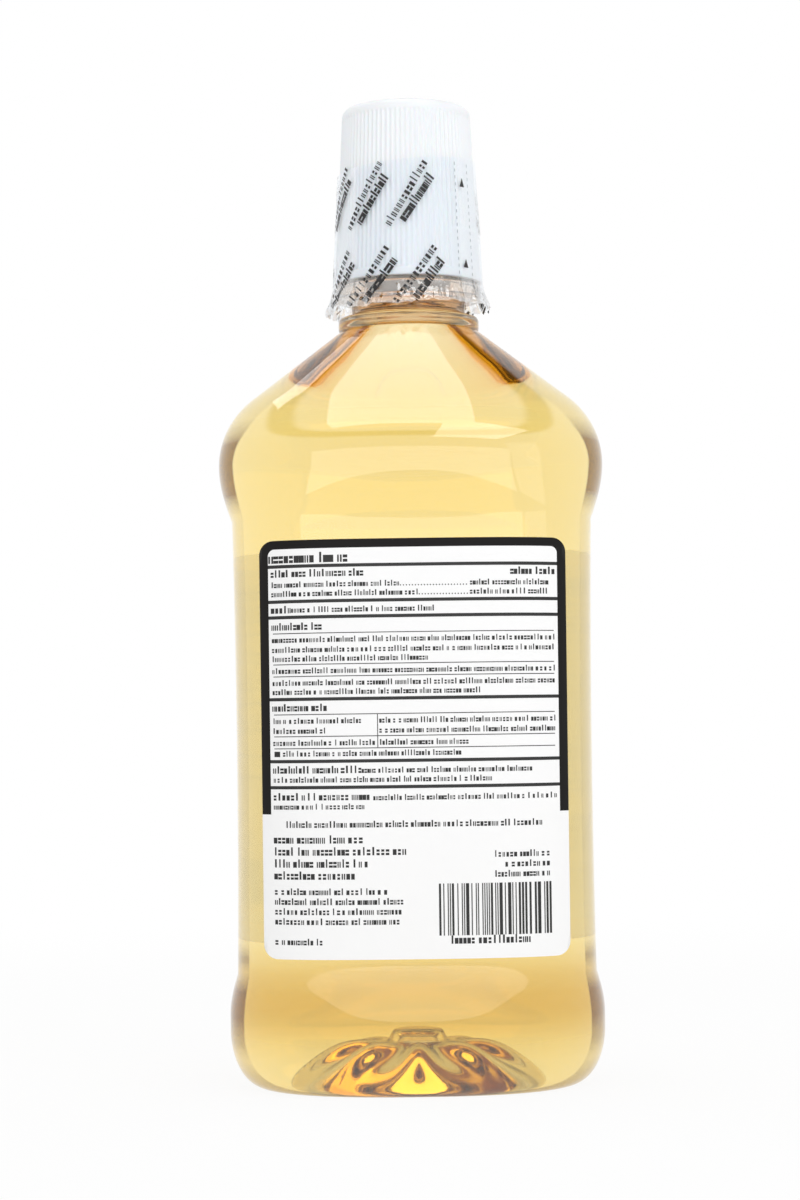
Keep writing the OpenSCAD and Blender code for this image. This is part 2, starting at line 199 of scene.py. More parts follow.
# Backdrop paper, whose shade, the bottle's shadow with it, fades out away from the bottle
paper, tree = new_material("matt white backdrop paper")
place = add(tree, "ShaderNodeTexCoord").outputs["Object"]
away = add(tree, "ShaderNodeVectorMath", {0: place}, operation="LENGTH").outputs["Value"]
plain = ramp(tree, away, SHADE_FROM * MM, SHADE_TO * MM, (WHITE_SHARE, 1), "SMOOTHSTEP")
matt = add(tree, "ShaderNodeBsdfDiffuse", {"Color": linear(PAPER)})
white = add(tree, "ShaderNodeEmission", {"Color": linear(WHITE), "Strength": 1.0})
share = maths(tree, "MULTIPLY", seen(tree), plain)
both = blended(tree, share, matt.outputs[0], white.outputs[0])
add(tree, "ShaderNodeOutputMaterial", {"Surface": both})
floor_mesh.materials.append(paper)

# Bottle ---------------------------------------------------------------------------------------
# One stretch-blown piece of clear PET with its neck: push-up base with petals, recessed label
# panel, sloping shoulder, bead, collar and a right-hand thread with two child-resistant lugs.

WALL = 0.5
HALF_W, HALF_D = 48.3, 39.0         # of the bulge under the shoulder
BASE_HALF = 47.2
PANEL_HALF, PANEL_DEEP = 45.0, 36.5
PANEL_WAIST = 0.5
PANEL_LOW, PANEL_HIGH = 28.5, 141.0
LOW_STEP, HIGH_STEP = 11.0, 14.3
BASE_Z, SHOULDER_Z = PANEL_LOW - LOW_STEP, PANEL_HIGH + HIGH_STEP
PANEL_SQUARE, BULGE_SQUARE = 3.2, 2.5
RING_OUT, RING_IN = 39.0, 36.0
HEEL_HIGH, PUSH_UP = 14.0, 11.0
BOSS_R, BOSS_HIGH = 7.5, 3.0
BOSS_FLAT = BOSS_R * 0.72           # up to where its domed top reaches
BOSS_CROWN, BOSS_SILL = 0.9, 0.25   # of the top, and the step left at the boss's foot
PETALS, PETAL_HIGH = 8, 1.8
PETAL_REACH = 0.8                   # share of the way from the boss to the standing ring
SHOULDER_ROUND_W, SHOULDER_ROUND_D = 21.0, 12.0
BEAD_Z, BEAD_HIGH, BEAD_R = 189.2, 3.4, 17.6
NECK_HALF = BEAD_R - 0.2
WAIST_R = 14.3
COLLAR_Z, COLLAR_HIGH, COLLAR_R = 197.0, 3.4, 18.3
LIP_Z = 219.0
FINISH_R, BORE_R = 12.6, 10.9
FLARE_HIGH = 7.0
PITCH, TURNS, RIDGE, RIDGE_DROP = 4.23, 1.25, 1.15, 3.3
ROOT_HALF, CREST_HALF = 1.25, 0.7
RUN_OUT = 12                        # each end of the ridge fades over a twelfth of a turn
THREAD_STEP = 0.3
LUG_HIGH, LUG_R, LUG_HALF, LUG_TURN = 5.0, 15.6, 2.0, 49.0
BOTTLE_SIDES = 160
HUB = 0.3                           # radius at which a level closes a form on its axis
# The deep, the neck and the edge colours are painted shade: browns laid into the clear wall where
# its refraction looks dark
PET_CLEAR, PAINTED_DEEP_SHADE, PAINTED_NECK_SHADE, PAINTED_EDGE_SHADE = "FDFEFD", "F0E4BE", "D49A4C", "5A3C08"
# Past these values of the Layer Weight's facing, the painted edge shade sets in
EDGE_ON = (0.535, 0.57)             # from here on the wall is seen edge on
# Height, and there the shares of painted shade in the clear wall: the deep one, the edge one and
# the neck one
PAINTED_SHADE_AT = (
    (0, 0.1, 0.7, 0), (4, 0.1, 0.6, 0), (8, 0.2, 0.25, 0), (12, 0.5, 0.7, 0),
    (18, 1, 1, 0), (25, 0.9, 1, 0), (30, 0.4, 0.3, 0), (33, 0.1, 0.9, 0),
    (37, 0, 0.2, 0), (142, 0, 0.2, 0), (147, 0, 1, 0), (160, 0, 1, 0), (166, 0, 0.2, 0),
    (192.4, 0, 0.2, 0), (193.6, 0.2, 0.5, 0.55), (196.6, 0.2, 0.5, 0.55),
    (197.4, 0.3, 0.5, 0.4), (200.6, 0.3, 0.5, 0.4), (201.6, 0, 0.3, 0))


def between(low, high, share):
    return low + (high - low) * share


def eased(share):
    return share * share * (3 - 2 * share)


def turns_of(sides):
    return np.arange(sides) * 2 * math.pi / sides


def aside(turn, middle):
    """How far each turn lies from a middle one that is given in degrees, in radians."""
    return (turn - math.radians(middle) + math.pi) % (2 * math.pi) - math.pi


def oval(half_w, half_d, z, square=2.0, petal=0.0, sides=BOTTLE_SIDES):
    """One level of the bottle: a squarish oval, with its petals."""
    turn = turns_of(sides)
    c, s = np.cos(turn), np.sin(turn)
    reach = (np.abs(c / half_w) ** square + np.abs(s / half_d) ** square) ** (-1 / square)
    around = np.arctan2(s / half_d, c / half_w)
    return np.stack([reach * c, reach * s, z + petal * np.cos(PETALS * around)], 1)


def rounds(profile, sides=BOTTLE_SIDES):
    """Round levels through (radius, height)."""
    return [oval(r, r, z, sides=sides) for r, z in profile]


def spun(turn, r, z):
    """One level whose radius differs round the axis."""
    return np.stack([r * np.cos(turn), r * np.sin(turn), np.full(len(turn), z)], 1)


def shoulder_reach(z, reach, round_r, inset):
    """Reach of the shoulder: a round that turns into a straight slope up to the bead."""
    across, up = reach - round_r - NECK_HALF, BEAD_Z - SHOULDER_Z
    lean = math.atan2(across, up) + math.asin(round_r / math.hypot(across, up))
    r, rise = round_r - inset, z - SHOULDER_Z
    if rise < r * math.sin(lean):
        return reach - round_r + math.sqrt(max(r * r - rise * rise, 0))
    return reach - round_r + r * math.cos(lean) - (rise - r * math.sin(lean)) * math.tan(lean)


def panel_at(z, inset):
    """Half-width and half-depth of the label panel, whose sides draw in halfway up."""
    middle = (PANEL_LOW + PANEL_HIGH) / 2
    waist = PANEL_WAIST * (1 - ((z - middle) / (PANEL_HIGH - middle)) ** 2)
    return PANEL_HALF - inset - waist, PANEL_DEEP - inset


def body_levels(inset):
    """Levels from the middle of the push-up, over the heel and up to the neck bead."""
    deep = HALF_D / HALF_W
    levels = rounds([(r, PUSH_UP + BOSS_HIGH - BOSS_CROWN * (r / BOSS_R) ** 4 + inset)
                     for r in np.linspace(HUB, BOSS_FLAT, 6)])
    levels += rounds([(between(BOSS_FLAT, BOSS_R, s),
                       PUSH_UP + (BOSS_HIGH - BOSS_SILL) * (1 - eased(s)) + inset)
                      for s in np.linspace(0.15, 1, 7)])
    for s in np.linspace(0.04, 1, 24):
        swell = math.sin(math.pi * s / PETAL_REACH) ** 1.5 if s < PETAL_REACH else 0
        levels.append(oval(between(BOSS_R, RING_IN, s), between(BOSS_R, RING_IN * deep, s),
                           PUSH_UP * math.cos(math.pi / 2 * s) + inset, 2,
                           PETAL_HIGH * swell * (1 - s)))
    foot = between(RING_IN, RING_OUT, 0.5)
    levels.append(oval(foot, foot * deep, inset, between(2, BULGE_SQUARE, 0.5)))
    for t in np.linspace(0, math.pi / 2, 16):
        a = between(RING_OUT, BASE_HALF, math.sin(t))
        levels.append(oval(a - inset, a * deep - inset,
                           HEEL_HIGH + (inset - HEEL_HIGH) * math.cos(t), BULGE_SQUARE))
    for s in np.linspace(0, 1, 16):
        out = math.sin(math.pi / 2 * (1 - s))
        levels.append(oval(between(PANEL_HALF, BASE_HALF, out) - inset,
                           between(PANEL_DEEP, BASE_HALF * deep, out) - inset,
                           BASE_Z + LOW_STEP * s, between(PANEL_SQUARE, BULGE_SQUARE, out)))
    for z in np.linspace(PANEL_LOW, PANEL_HIGH, 24)[1:-1]:
        levels.append(oval(*panel_at(z, inset), z, PANEL_SQUARE))
    for s in np.linspace(0, 1, 18):
        out = math.sin(math.pi / 2 * s)
        levels.append(oval(between(PANEL_HALF, HALF_W, out) - inset,
                           between(PANEL_DEEP, HALF_D, out) - inset,
                           PANEL_HIGH + HIGH_STEP * s, between(PANEL_SQUARE, BULGE_SQUARE, out)))
    for s in np.linspace(0, 1, 28)[1:]:
        z = between(SHOULDER_Z, BEAD_Z - inset, s)
        levels.append(oval(shoulder_reach(z, HALF_W, SHOULDER_ROUND_W, inset),
                           shoulder_reach(z, HALF_D, SHOULDER_ROUND_D, inset), z,
                           between(BULGE_SQUARE, 2, s)))
    return levels


def ridge(turn, z, low):
    """Height of the thread's ridge all round one level, where the thread begins at low."""
    high = np.zeros(len(turn))
    for lap in range(3):
        along = turn / (2 * math.pi) + lap
        apart = np.abs(z - low - PITCH * along)
        ends = np.clip(np.minimum(along, TURNS - along) * RUN_OUT, 0, 1)
        slope = np.clip((ROOT_HALF - apart) / (ROOT_HALF - CREST_HALF), 0, 1)
        high = np.maximum(high, slope * ends * RIDGE)
    return high


def neck_levels():
    """Levels of the neck's outside, from the bead up to the lip, with the thread and the lugs."""
    bead_top, collar_top = BEAD_Z + BEAD_HIGH, COLLAR_Z + COLLAR_HIGH
    levels = rounds([
        (BEAD_R, BEAD_Z + 0.25), (BEAD_R + 0.12, BEAD_Z + 0.8), (BEAD_R + 0.12, bead_top - 0.8),
        (BEAD_R - 0.1, bead_top - 0.3), (BEAD_R - 0.5, bead_top), (WAIST_R + 1, bead_top + 0.1),
        (WAIST_R + 0.2, bead_top + 0.5), (WAIST_R, bead_top + 1.2), (WAIST_R, COLLAR_Z - 1),
        (WAIST_R + 0.3, COLLAR_Z - 0.3), (WAIST_R + 1, COLLAR_Z),
        (COLLAR_R - 0.4, COLLAR_Z + 0.05), (COLLAR_R - 0.08, COLLAR_Z + 0.25),
        (COLLAR_R, COLLAR_Z + 0.7), (COLLAR_R, collar_top - 0.7),
        (COLLAR_R - 0.08, collar_top - 0.25), (COLLAR_R - 0.4, collar_top - 0.05),
        (LUG_R + 0.6, collar_top)])
    turn = turns_of(BOTTLE_SIDES)
    for z in np.arange(collar_top + 0.05, LIP_Z - 0.5, THREAD_STEP):
        r = FINISH_R + ridge(turn, z, LIP_Z - RIDGE_DROP - PITCH * TURNS)
        for side in (0, 180):
            if z < collar_top + LUG_HIGH:
                r = np.where(np.abs(aside(turn, LUG_TURN + side)) * LUG_R < LUG_HALF, LUG_R, r)
        levels.append(spun(turn, r, z))
    return levels + rounds([
        (FINISH_R, LIP_Z - 0.4), (FINISH_R - 0.12, LIP_Z - 0.12), (FINISH_R - 0.4, LIP_Z),
        (BORE_R + 0.4, LIP_Z), (BORE_R + 0.12, LIP_Z - 0.12), (BORE_R, LIP_Z - 0.4)])


def bore_levels(inset, top):
    """Levels of the cavity from the shoulder up the flare and the bore."""
    low, r = BEAD_Z - inset, BORE_R + (WALL - inset)
    return rounds([(between(NECK_HALF - inset, r, eased(s)), low + FLARE_HIGH * s)
                   for s in np.linspace(0.1, 1, 9)]
                  + [(r, z) for z in np.linspace(low + FLARE_HIGH, top, 4)[1:]])


def solid(name, points, faces, material, smooth_under):
    """A closed mesh of points in mm, smooth but for edges sharper than an angle."""
    mesh = bpy.data.meshes.new(name)
    mesh.from_pydata((np.array(points) * MM).tolist(), [], faces)
    form = bmesh.new()
    form.from_mesh(mesh)
    bmesh.ops.recalc_face_normals(form, faces=form.faces)
    form.to_mesh(mesh)
    form.free()
    mesh.shade_smooth()
    mesh.set_sharp_from_angle(angle=math.radians(smooth_under))
    mesh.materials.append(material)
    return placed(name, mesh)


def lofted(name, levels, material, smooth_under=50, ring=False):
    """A solid through levels of points, closed at both ends or, as a ring, on its first level."""
    sides = len(levels[0])
    points = np.concatenate(levels)
    steps = len(levels) if ring else len(levels) - 1
    faces = [(k * sides + i, k * sides + (i + 1) % sides,
              (k + 1) * sides + (i + 1) % sides, (k + 1) * sides + i)
             for k in range(steps) for i in range(sides)]
    if ring:
        faces = [tuple(i % len(points) for i in face) for face in faces]
    else:
        faces.append(tuple(range(sides - 1, -1, -1)))
        faces.append(tuple(range((len(levels) - 1) * sides, len(levels) * sides)))
    return solid(name, points, faces, material, smooth_under)


def noisy(tree, place, scale, detail):
    return add(tree, "ShaderNodeTexNoise", {
        "Vector": place, "Scale": scale, "Detail": detail}).outputs["Fac"]


def relief(tree, texture, strength, deep):
    """The normal of fine relief, so many mm deep."""
    return add(tree, "ShaderNodeBump", {
        "Height": texture, "Strength": strength, "Distance": deep * MM}).outputs[0]


def lit_through(tree, shader, colour):
    """The shader, but see-through to the light of the lamps."""
    path = add(tree, "ShaderNodeLightPath").outputs
    clear = add(tree, "ShaderNodeBsdfTransparent", {"Color": linear(colour)})
    return blended(tree, path["Is Shadow Ray"], shader, clear.outputs[0])


# Stretch-blown PET: glass-clear and high-gloss, with faint long waves from the blow mould
pet, tree = new_material("stretch-blown clear PET")
place = add(tree, "ShaderNodeTexCoord").outputs["Object"]
waves = relief(tree, noisy(tree, place, 45.0, 1.0), 0.12, 0.6)
# Painted shade: the clear wall's colour turns brown by height at the foot, the bulge and the neck,
# and darkest where it is seen edge on, standing for its dark refraction there
where = add(tree, "ShaderNodeSeparateXYZ", {0: place}).outputs
shade_by_height = add(tree, "ShaderNodeValToRGB", {0: ramp(tree, where["Z"], 0, LIP_Z * MM)})
for k, (z, *shade_shares) in enumerate(PAINTED_SHADE_AT):
    stops = shade_by_height.color_ramp.elements
    stop = stops[k] if k < 2 else stops.new(z / LIP_Z)
    stop.position = z / LIP_Z
    stop.color = (*shade_shares, 1)
painted_shares = add(tree, "ShaderNodeSeparateColor", {0: shade_by_height.outputs[0]}).outputs
foot = mixed(tree, painted_shares["Red"], linear(PET_CLEAR), linear(PAINTED_DEEP_SHADE))
wall = mixed(tree, painted_shares["Blue"], foot, linear(PAINTED_NECK_SHADE))
grazing = add(tree, "ShaderNodeLayerWeight", {"Blend": 0.5}).outputs
edge_shade_mask = ramp(tree, grazing["Facing"], *EDGE_ON, kind="SMOOTHSTEP")
# Painted shade along the edges, where the wall is seen edge on
clear_with_painted_shade = mixed(tree, maths(tree, "MULTIPLY", edge_shade_mask, painted_shares["Green"]), wall, linear(PAINTED_EDGE_SHADE))
clear = add(tree, "ShaderNodeBsdfPrincipled", {
    "Base Color": clear_with_painted_shade, "Roughness": 0.0, "IOR": 1.575, "Transmission Weight": 1.0,
    "Normal": waves})
add(tree, "ShaderNodeOutputMaterial", {
    "Surface": lit_through(tree, clear.outputs[0], PET_CLEAR)})

outer = body_levels(0) + neck_levels()
inner = body_levels(WALL) + bore_levels(WALL, LIP_Z - 0.6)
bottle = lofted("bottle_shell", outer + inner[::-1], pet, 60)
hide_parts("bottle")
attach(bottle, "bottle")

# Mouthwash ------------------------------------------------------------------------------------
# About a litre of pale amber liquid, clear and thin, that fills the bottle up into its neck. Its
# skin lies within the bottle's wall, so that no air shows between the two.

LEVEL_Z = 198.0
SKIN = 0.3                          # from the bottle's outer face in to the liquid's own
AMBER, AMBER_DENSITY = (0.985, 0.80, 0.02, 1), 20.0

# Hydro-alcoholic mouthwash: takes out blue light first, so that it is amber where it is deep
amber, tree = new_material("amber mouthwash")
wet = add(tree, "ShaderNodeBsdfPrincipled", {
    "Base Color": linear(WHITE), "Roughness": 0.0, "IOR": 1.345, "Transmission Weight": 1.0})
tint = add(tree, "ShaderNodeVolumeAbsorption", {"Color": AMBER, "Density": AMBER_DENSITY})
add(tree, "ShaderNodeOutputMaterial", {
    "Surface": lit_through(tree, wet.outputs[0], WHITE), "Volume": tint.outputs[0]})

liquid = lofted("liquid", body_levels(SKIN) + bore_levels(SKIN, LEVEL_Z), amber, 60)
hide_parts("mouthwash")
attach(liquid, "bottle")

# Dosing cap -----------------------------------------------------------------------------------
# One moulding of white polypropylene: a fluted outer wall with two smooth squeeze pads, and
# inside it the threaded cup that the dose is measured in. It screws over the neck.

CAP_Z, CAP_TOP = 201.2, 245.5
CAP_LOW_R, CAP_TOP_R, CAP_EDGE = 18.3, 16.2, 2.2
EDGE_Z = CAP_TOP - CAP_EDGE
SKIRT, TOP_PLATE, CUP_WALL = 1.15, 1.3, 1.1
PLATE_Z = CAP_TOP - TOP_PLATE       # the underside of the cap's top
TOP_DISH = ((13.2, 0.0), (12.9, 0.06), (6, 0.12), (HUB, 0.14))  # its radii and depths
SKIRT_MID = 225                     # height of a level halfway up the skirt's inside
FLUTES, FLUTE_DEEP = 84, 0.35
FLUTE_POINTS = 8                    # round the cap for each flute
FLUTE_FADE = (0.1, 1.2)             # below the top's rounded edge
RIM_HIGH, RIM_PROUD, PAD_PROUD = 2.0, 0.25, 0.15
PAD_WIDE, PAD_HIGH, PAD_CORNER, PAD_TURN = 17.0, 12.6, 3.0, -27.0
CAP_SIDES, CUP_SIDES = FLUTES * FLUTE_POINTS, 96
THREAD_WALL_R, CUP_R, CUP_LOW, LAND_Z = 14.15, 12.8, 206.4, 220.6
SEAL_LOW, SEAL_BEAD = 219.0, 0.5
CAP_LUG_TURN = 77.0
PP_WHITE = "F2F5F8"


def cap_r(z):
    return CAP_LOW_R - (z - CAP_Z) * (CAP_LOW_R - CAP_TOP_R) / (EDGE_Z - CAP_Z)


def step(low, high, x):
    """A smooth step from 0 at low to 1 at high."""
    return eased(np.clip((x - low) / (high - low), 0, 1))


def cap_wall(z):
    """One level of the cap's outer face: plain at the rim and on the pads, fluted elsewhere."""
    turn = turns_of(CAP_SIDES)
    valley = (0.5 - 0.5 * np.cos(FLUTES * turn)) ** 0.8
    pad = np.zeros_like(turn)
    over_rim = z - CAP_Z - RIM_HIGH
    for side in (0, 180):
        across = np.abs(aside(turn, PAD_TURN + side)) * cap_r(z) - (PAD_WIDE / 2 - PAD_CORNER)
        above = z - CAP_Z - (PAD_HIGH - PAD_CORNER)
        out = np.hypot(np.maximum(across, 0), max(above, 0)) - PAD_CORNER
        pad = np.maximum(pad, 1 - step(-0.25, 0.15, out))
    fluted = step(*FLUTE_FADE, EDGE_Z - z) * step(0, 0.3, over_rim)
    proud = np.maximum(RIM_PROUD * (1 - step(0, 0.35, over_rim)), pad * PAD_PROUD)
    return spun(turn, cap_r(z) + proud - FLUTE_DEEP * valley * fluted * (1 - pad), z)


inside = SKIRT + FLUTE_DEEP / 2
rim_r, roof_r = CAP_LOW_R + RIM_PROUD, cap_r(PLATE_Z) - inside
shell = rounds([
    (HUB, PLATE_Z), (roof_r - 0.4, PLATE_Z), (roof_r, PLATE_Z - 0.4),
    (cap_r(SKIRT_MID) - inside, SKIRT_MID),
    (cap_r(CAP_Z) - inside, CAP_Z + 0.4), (cap_r(CAP_Z) - inside + 0.1, CAP_Z + 0.1),
    (cap_r(CAP_Z) - inside + 0.3, CAP_Z), (rim_r - 0.35, CAP_Z), (rim_r - 0.1, CAP_Z + 0.1)],
    CAP_SIDES)
shell += [cap_wall(z) for z in np.concatenate([
    [CAP_Z + 0.35, CAP_Z + 1, CAP_Z + 1.7], np.arange(CAP_Z + 2, CAP_Z + 13.2, 0.42),
    np.linspace(CAP_Z + 14, EDGE_Z - 1.6, 9), np.linspace(EDGE_Z - 1.2, EDGE_Z, 5)])]
shell += rounds([(CAP_TOP_R - CAP_EDGE + CAP_EDGE * math.cos(t), EDGE_Z + CAP_EDGE * math.sin(t))
                 for t in np.linspace(0.15, math.pi / 2, 9)], CAP_SIDES)
shell += rounds([(r, CAP_TOP - sunk) for r, sunk in TOP_DISH], CAP_SIDES)

# Injection-moulded polypropylene: bright white, satin, and a little translucent
white_pp, tree = new_material("satin white polypropylene")
place = add(tree, "ShaderNodeTexCoord").outputs["Object"]
moulded = add(tree, "ShaderNodeBsdfPrincipled", {
    "Base Color": linear(PP_WHITE), "IOR": 1.49,
    "Subsurface Weight": 0.12, "Subsurface Scale": 0.001,
    "Roughness": ramp(tree, noisy(tree, place, 120.0, 2.0), to=(0.3, 0.42)),
    "Normal": relief(tree, noisy(tree, place, 1400.0, 3.0), 0.15, 0.1)})
add(tree, "ShaderNodeOutputMaterial", {"Surface": moulded.outputs[0]})

wall_r, cup_r, land = THREAD_WALL_R + CUP_WALL, CUP_R + CUP_WALL, LAND_Z + CUP_WALL
cup = rounds([
    (HUB, PLATE_Z + 0.5), (cup_r, PLATE_Z + 0.5), (cup_r, land + 0.4), (cup_r + 0.3, land),
    (wall_r - 0.3, land), (wall_r, land - 0.3), (wall_r, CUP_LOW + 0.2), (wall_r - 0.2, CUP_LOW),
    (THREAD_WALL_R + 0.2, CUP_LOW), (THREAD_WALL_R, CUP_LOW + 0.2)], CUP_SIDES)
cup_turn = turns_of(CUP_SIDES)
# The cap's thread starts half a turn lower than the neck's
cup += [spun(cup_turn, THREAD_WALL_R - ridge(
    cup_turn, z, LIP_Z - RIDGE_DROP - PITCH * (TURNS + 0.5)), z)
    for z in np.arange(CUP_LOW + 0.4, SEAL_LOW - 0.7, THREAD_STEP)]
cup += rounds([
    (THREAD_WALL_R, SEAL_LOW - 0.6), (THREAD_WALL_R - SEAL_BEAD, SEAL_LOW - 0.4),
    (THREAD_WALL_R - SEAL_BEAD, SEAL_LOW - 0.15), (THREAD_WALL_R, SEAL_LOW),
    (THREAD_WALL_R, LAND_Z - 0.1), (THREAD_WALL_R - 0.1, LAND_Z), (CUP_R + 0.3, LAND_Z),
    (CUP_R, LAND_Z + 0.3), (CUP_R, PLATE_Z - 0.5), (CUP_R - 0.15, PLATE_Z - 0.2),
    (CUP_R - 0.5, PLATE_Z - 0.05), (HUB, PLATE_Z - 0.05)], CUP_SIDES)


def lug_levels(turn, r_in, r_out, low, high):
    """Levels of a lug that stands between two radii."""
    along = np.array([r_in, r_out, r_out, r_in])
    across = np.array([-LUG_HALF, -LUG_HALF, LUG_HALF, LUG_HALF])
    c, s = math.cos(math.radians(turn)), math.sin(math.radians(turn))
    return [np.stack([along * c - across * s, along * s + across * c, np.full(4, z)], 1)
            for z in (low, high)]


def joined(first, *others):
    """First, with the meshes of the others added to its own, all in its one material."""
    form = bmesh.new()
    for part in (first, *others):
        form.from_mesh(part.data)
    for face in form.faces:
        face.material_index = 0
    form.to_mesh(first.data)
    form.free()
    for part in others:
        bpy.data.objects.remove(part)
    return first


cap_lugs = [lofted(f"cap_lug_{side}", lug_levels(
    CAP_LUG_TURN + side, LUG_R + 0.3, CAP_LOW_R - SKIRT, CAP_Z + 0.6, CAP_Z + LUG_HIGH - 0.8),
    white_pp) for side in (0, 180)]
cap = joined(lofted("cap_moulding", shell, white_pp), lofted("dosing_cup", cup, white_pp),
             *cap_lugs)
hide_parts("dosing_cap")
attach(cap, "cap")

# Seal ring ------------------------------------------------------------------------------------
# A washer of foamed polyethylene that lies loose over the bead in the cap, and is pressed on the
# bottle's lip when the cap is down.

SEAL_Z, SEAL_HIGH, SEAL_R, SEAL_EDGE = 219.1, 1.4, 13.9, 0.2
FOAM_GREY = "E4E7EA"

# Foamed polyethylene: soft, matt and finely pitted
foam, tree = new_material("soft polyethylene foam")
place = add(tree, "ShaderNodeTexCoord").outputs["Object"]
pits = add(tree, "ShaderNodeTexVoronoi", {"Vector": place, "Scale": 2200.0})
skin = add(tree, "ShaderNodeBsdfPrincipled", {
    "Base Color": linear(FOAM_GREY), "Roughness": 0.75, "IOR": 1.5,
    "Normal": relief(tree, pits.outputs["Distance"], 0.4, 0.1)})
add(tree, "ShaderNodeOutputMaterial", {"Surface": skin.outputs[0]})

seal_top = SEAL_Z + SEAL_HIGH
washer = rounds([
    (BORE_R, SEAL_Z + SEAL_EDGE), (BORE_R + SEAL_EDGE, SEAL_Z), (SEAL_R - SEAL_EDGE, SEAL_Z),
    (SEAL_R, SEAL_Z + SEAL_EDGE), (SEAL_R, seal_top - SEAL_EDGE), (SEAL_R - SEAL_EDGE, seal_top),
    (BORE_R + SEAL_EDGE, seal_top), (BORE_R, seal_top - SEAL_EDGE)], CUP_SIDES)
seal = lofted("seal_washer", washer, foam, ring=True)
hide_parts("seal_ring")
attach(seal, "seal")

# Neck band and tear strip ---------------------------------------------------------------------
# A sleeve of clear film, shrunk by heat over the cap and the neck, and crumpled where it narrows
# under the collar. Two rows of slits let a strip of it be torn out, which frees the rest.

FILM = 0.06                         # thickness
FILM_GAP = 0.35
HEM_Z, FLARE_Z, BAND_TOP = 193.4, 198.6, 230.0
FILM_R, HEM_R = CAP_LOW_R + RIM_PROUD + FILM_GAP, 20.4
BAND_TILT = 5.0                     # degrees, up towards +X
TOP_REACH = 17                      # of the top edge from the axis
LOOSE_OVER, LOOSE_RUN = 2.5, 6      # over the flare's height, and down to where it is all loose
# How close together waves of the film lie round it and up it, where they start, and how deep
FOLDS, CREASES, SLACK = (7.5, 0.16, 0, 0, 0.75), (17, 0.34, 3, 1, 0.55), (2.6, 0.05, 0, 7, 0.12)
HEM_RISE, HEM_WAVE, HEM_NICKS = 0.84, 0.8, 0.35
FILM_ROWS = (0, 0.015, 0.03, 0.045, 0.06, 0.075, 0.09, 0.105, 0.12, 0.14, 0.16, 0.185, 0.21,
             0.25, 0.3, 0.4, 0.5, 0.6, 0.7, 0.8, 0.9, 1)
BAND_COLUMNS, STRIP_COLUMNS = 420, 18
STRIP_TURN, STRIP_WIDE, CUT = -40.0, 4.6, 0.15
FILM_CLEAR = "FDFEFF"
TAUT_BUMP, LOOSE_BUMP = 0.08, 0.8
LEAST_GLOSS, MOST_GLOSS = 0.16, 0.5  # where it is crumpled, and where it is seen edge on


def facing(turn):
    return Vector((math.cos(turn), math.sin(turn), 0))


def film_wave(way, z, close, climb, x, y, deep):
    return deep * noise.noise(way * close + Vector((x, y, z * climb)))


def film_point(turn, z, proud=0.0):
    """A point of the film's inner face, or so far outside it."""
    way = facing(turn)
    loose = max(0.0, min(1.0, (FLARE_Z + LOOSE_OVER - z) / LOOSE_RUN))
    r = cap_r(z) + RIM_PROUD + FILM_GAP if z > CAP_Z else FILM_R
    r += (HEM_R - FILM_R) * loose ** 1.4
    r += loose * (film_wave(way, z, *FOLDS) + film_wave(way, z, *CREASES))
    r += film_wave(way, z, *SLACK) * (1 - loose)
    r += proud
    return (r * way.x, r * way.y, z)


def film_foot(turn):
    """Height of the film's ragged lower edge, which rides up on the right."""
    way = facing(turn)
    return (HEM_Z + HEM_RISE * (1 + way.x) + HEM_WAVE * noise.noise(way * 5)
            + HEM_NICKS * noise.noise(way * 14))


def film_head(turn):
    """Height of its tilted top edge, which is cut a little unevenly."""
    way = facing(turn)
    way.z = 2
    return (BAND_TOP + TOP_REACH * math.cos(turn) * math.tan(math.radians(BAND_TILT))
            + 0.15 * noise.noise(way * 3))


def sheet(name, front, back, material, smooth_under=60):
    """A closed thin sheet between two like grids of points in mm, given row by row."""
    rows, cols = len(front), len(front[0])
    points = [p for row in front for p in row] + [p for row in back for p in row]
    second = rows * cols
    faces = []
    for r in range(rows - 1):
        for c in range(cols - 1):
            a, b = r * cols + c, r * cols + c + 1
            d, e = b + cols, a + cols
            faces += [(a, b, d, e), (a + second, e + second, d + second, b + second)]
    edge = [*range(cols), *[r * cols + cols - 1 for r in range(1, rows)],
            *[(rows - 1) * cols + c for c in range(cols - 2, -1, -1)],
            *[r * cols for r in range(rows - 2, 0, -1)]]
    for a, b in zip(edge, edge[1:] + edge[:1]):
        faces.append((b, a, a + second, b + second))
    return solid(name, points, faces, material, smooth_under)


def film_sheet(name, start, end, cols, material):
    """The film from one turn to another, from its ragged foot up to its cut top."""
    turns = [between(start, end, c / (cols - 1)) for c in range(cols)]
    front, back = [[[film_point(t, between(film_foot(t), film_head(t), s), proud) for t in turns]
                    for s in FILM_ROWS] for proud in (FILM, 0.0)]
    return sheet(name, front, back, material)


# Clear shrink film: almost invisible square on, with bright gloss at its folds and edges. It is
# taut over the cap and crumpled below it.
film, tree = new_material("clear shrink film")
place = add(tree, "ShaderNodeTexCoord").outputs["Object"]
where = add(tree, "ShaderNodeSeparateXYZ", {0: place}).outputs
loose_z = (CAP_Z - 1.5) * MM
crumple = ramp(tree, where["Z"], (CAP_Z + 0.5) * MM, loose_z, (TAUT_BUMP, LOOSE_BUMP))
bump = relief(tree, noisy(tree, place, 260.0, 2.0), crumple, 0.6)
edge = add(tree, "ShaderNodeLayerWeight", {"Blend": 0.25, "Normal": bump}).outputs
least = ramp(tree, where["Z"], CAP_Z * MM, loose_z, (0.0, LEAST_GLOSS))
share = ramp(tree, edge["Fresnel"], to=(least, MOST_GLOSS))
through = add(tree, "ShaderNodeBsdfTransparent", {"Color": linear(FILM_CLEAR)})
